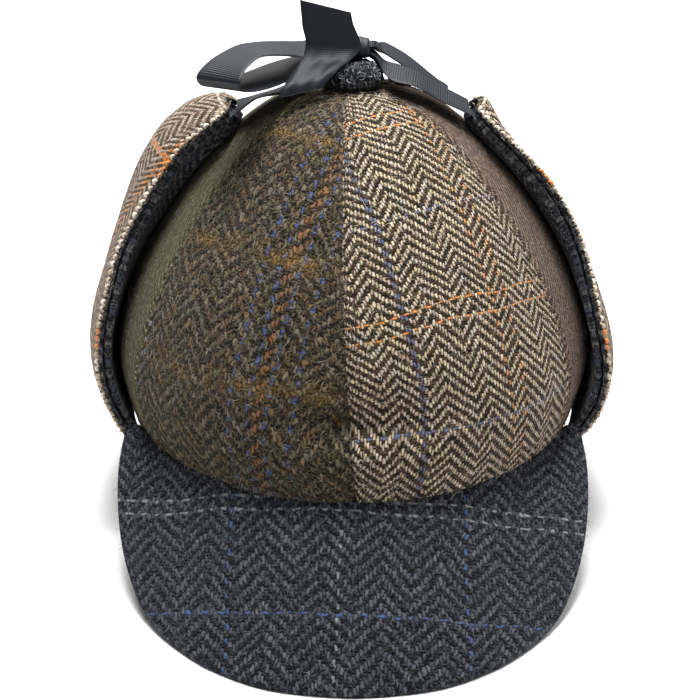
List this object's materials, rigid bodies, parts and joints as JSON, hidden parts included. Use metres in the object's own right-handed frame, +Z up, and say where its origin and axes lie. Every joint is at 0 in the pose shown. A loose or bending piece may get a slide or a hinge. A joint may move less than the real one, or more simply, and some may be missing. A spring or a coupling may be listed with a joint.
{
  "type": "deerstalker hat",
  "caption": "Tweed deerstalker hat with a gored crown, front and back peaks, and ear flaps tied up over the top by a ribbon bow.",
  "frame": {"origin": "middle of the hat on the surface that it rests on, below the crown", "axes": "+Z up, -Y towards the front peak, +X towards the wearer's left ear flap, which is on the viewer's right"},
  "size_m": [0.2068, 0.3248, 0.202],
  "materials": {
    "olive_tweed": "mottled olive brown tweed with blue, rust and ochre checks",
    "beige_herringbone": "beige and brown herringbone tweed with orange and blue checks",
    "green_tweed": "fine olive green tweed",
    "brown_tweed": "fine brown tweed",
    "charcoal_herringbone": "charcoal herringbone tweed with pale and blue windowpane lines",
    "pink_beige_herringbone": "pinkish beige herringbone tweed with orange lines",
    "dark_facing": "dark blue-black tweed",
    "charcoal_wool": "charcoal wool cloth",
    "grosgrain": "black ribbed ribbon with a soft sheen"
  },
  "bodies": {
    "root": {"crown_panel_front_left": "olive_tweed", "crown_panel_front_right": "beige_herringbone", "crown_panel_side_left": "green_tweed", "crown_panel_side_right": "brown_tweed", "crown_panel_back_left": "beige_herringbone", "crown_panel_back_right": "olive_tweed", "front_peak": "charcoal_herringbone", "back_peak": "charcoal_herringbone", "ear_flap_left": "pink_beige_herringbone", "ear_flap_right": "beige_herringbone", "ear_flap_facing_left": "dark_facing", "ear_flap_facing_right": "dark_facing", "top_button": "charcoal_wool", "bow_knot": "grosgrain", "bow_loop_left": "grosgrain", "bow_loop_right": "grosgrain", "bow_tail": "grosgrain", "tie_left": "grosgrain", "tie_right": "grosgrain"}
  },
  "joints": []
}
